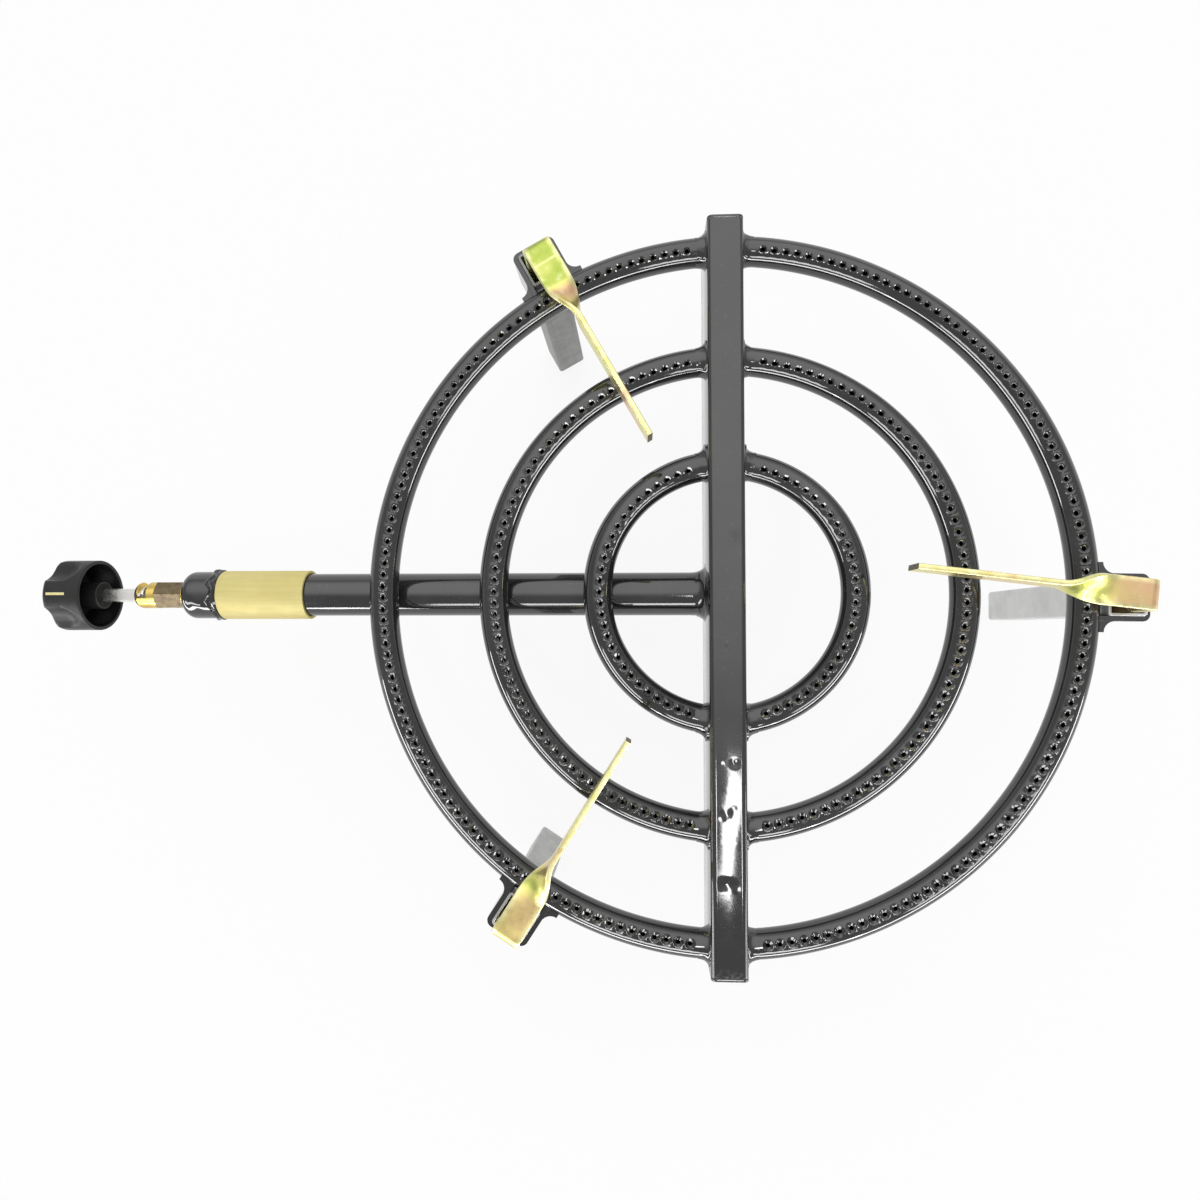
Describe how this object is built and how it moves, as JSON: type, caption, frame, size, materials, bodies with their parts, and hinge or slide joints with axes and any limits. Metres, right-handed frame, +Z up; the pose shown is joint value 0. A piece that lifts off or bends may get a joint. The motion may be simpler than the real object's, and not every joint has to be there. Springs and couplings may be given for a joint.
{
  "type": "paella gas burner",
  "caption": "Low gas burner of concentric tube rings on a crossbar manifold, with a feed tube, push-and-turn tap, sliding air sleeve, square legs and twisted lift-off pan supports.",
  "frame": {"origin": "middle of the burner's outline on the floor, between the knob and the right-hand leg strap", "axes": "+Z up, +X from the knob along the feed tube to the rings, +Y along the crossbar"},
  "size_m": [0.6194, 0.415, 0.1766],
  "materials": {
    "enamel": "gloss",
    "sleeve_brass": "satin",
    "tap_brass": "polished",
    "bright_steel": "polished",
    "fibre": "matte",
    "knob_plastic": "satin",
    "pointer_paint": "matte",
    "leg_zinc": "satin",
    "support_zinc": "satin"
  },
  "bodies": {
    "burner_frame": {"crossbar": "enamel", "crossbar_end_plates": "enamel", "outer_ring_left": "enamel", "outer_ring_right": "enamel", "middle_ring_left": "enamel", "middle_ring_right": "enamel", "inner_ring_left": "enamel", "inner_ring_right": "enamel", "ring_welds": "enamel", "feed_tube": "enamel", "feed_weld": "enamel", "tube_end_cap": "enamel", "cap_weld": "enamel", "bracket_right": "enamel", "bracket_rear": "enamel", "bracket_front": "enamel", "bracket_welds": "enamel", "injector": "tap_brass", "tap_body": "tap_brass", "tap_bonnet": "tap_brass", "hose_nozzle": "tap_brass", "inlet_washer": "fibre", "leg_right": "leg_zinc", "leg_rear": "leg_zinc", "leg_front": "leg_zinc", "leg_stops": "leg_zinc"},
    "tap_core": {"tap_plug": "tap_brass", "plug_spring": "bright_steel"},
    "knob_and_spindle": {"spindle": "bright_steel", "spindle_pin": "bright_steel", "knob": "knob_plastic", "knob_pointer": "pointer_paint"},
    "sleeve": {"air_sleeve": "sleeve_brass"},
    "pan_support_right": {"support_right": "support_zinc"},
    "pan_support_rear": {"support_rear": "support_zinc"},
    "pan_support_front": {"support_front": "support_zinc"}
  },
  "joints": [
    {"name": "knob_turn", "type": "hinge", "parent": "burner_frame", "child": "tap_core", "pos_m": [-0.26316, 0, 0.1192], "axis": [-1, 0, 0], "range_deg": [0, 180]},
    {"name": "knob_push", "type": "slide", "parent": "tap_core", "child": "knob_and_spindle", "axis": [1, 0, 0], "range_m": [0, 0.003], "stiffness_N_per_m": 800},
    {"name": "sleeve_slide", "type": "slide", "parent": "burner_frame", "child": "sleeve", "axis": [1, 0, 0], "range_m": [0, 0.035]},
    {"name": "support_right_lift", "type": "slide", "parent": "burner_frame", "child": "pan_support_right", "axis": [0, 0, 1], "range_m": [0, 0.065]},
    {"name": "support_rear_lift", "type": "slide", "parent": "burner_frame", "child": "pan_support_rear", "axis": [0, 0, 1], "range_m": [0, 0.065]},
    {"name": "support_front_lift", "type": "slide", "parent": "burner_frame", "child": "pan_support_front", "axis": [0, 0, 1], "range_m": [0, 0.065]}
  ]
}
